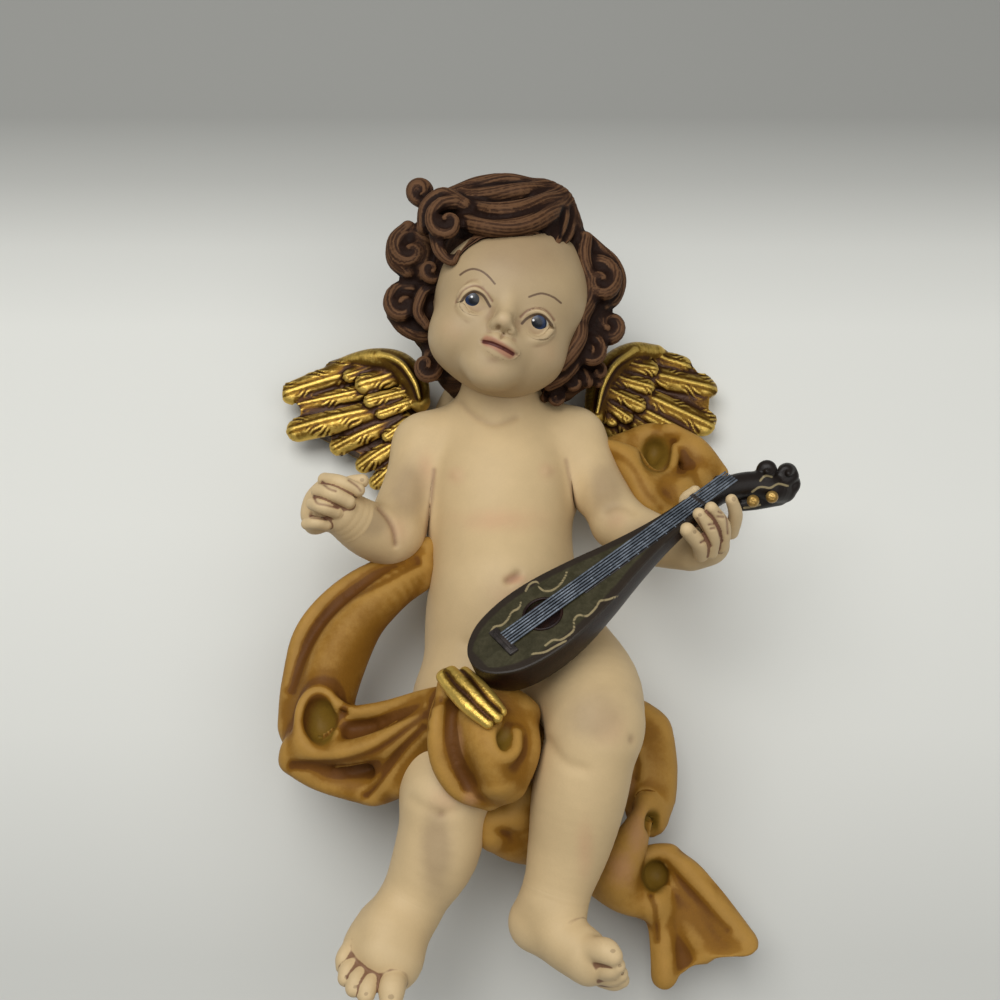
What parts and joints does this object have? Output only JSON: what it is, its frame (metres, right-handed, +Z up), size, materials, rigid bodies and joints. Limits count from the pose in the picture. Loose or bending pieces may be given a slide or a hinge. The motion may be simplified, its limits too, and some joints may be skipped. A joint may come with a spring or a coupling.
{
  "type": "cherub wall plaque",
  "caption": "Winged cherub wall plaque with swirling drapery, one fist raised and a small mandolin held in the other hand.",
  "frame": {"origin": "on the flat back that rests against the wall, behind the chest", "axes": "+Y into the wall, +Z up towards the head, +X to the viewer's right"},
  "size_m": [0.1938, 0.0866, 0.2912],
  "materials": {
    "painted_resin": "hand-painted cast resin with a dull wash",
    "mandolin_paint": "dark brown paint with a soft sheen"
  },
  "bodies": {
    "root": {"figure": "painted_resin", "mandolin": "mandolin_paint"}
  },
  "joints": []
}
